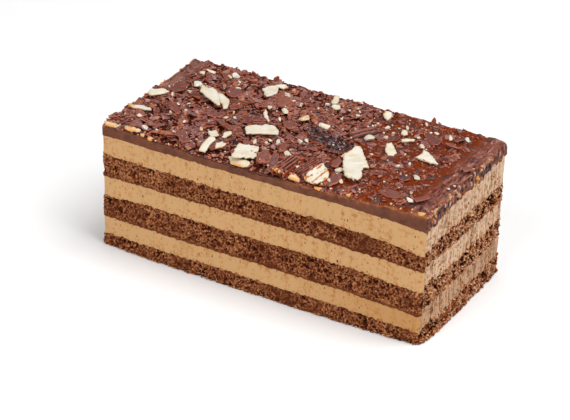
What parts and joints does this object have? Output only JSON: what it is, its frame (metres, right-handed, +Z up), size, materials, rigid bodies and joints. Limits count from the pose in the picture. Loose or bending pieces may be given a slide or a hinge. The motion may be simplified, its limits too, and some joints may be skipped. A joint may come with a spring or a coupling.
{
  "type": "chocolate layer cake slice",
  "caption": "Rectangular slice of chocolate layer cake: cocoa sponge and mocha cream in turn under a glaze strewn with almond flakes and shaved chocolate.",
  "frame": {"origin": "middle of the slice's footprint, on the surface it stands on", "axes": "+X along the length towards the torn end, +Y away from the long cut face that shows, +Z up through the layers"},
  "size_m": [0.1016, 0.049, 0.0435],
  "materials": {
    "sponge": "matt dark cocoa sponge with an open crumb",
    "cream": "smooth mocha butter cream, satin",
    "glaze": "soft chocolate glaze, glossy where it is bare",
    "shaved_chocolate": "satin shaved dark chocolate with dull bloom",
    "almond": "blanched almond, cream white with toasted spots"
  },
  "bodies": {
    "root": {"sponge_bottom": "sponge", "cream_lower": "cream", "sponge_middle": "sponge", "cream_middle": "cream", "sponge_top": "sponge", "cream_upper": "cream", "chocolate_topping": "glaze"}
  },
  "joints": []
}
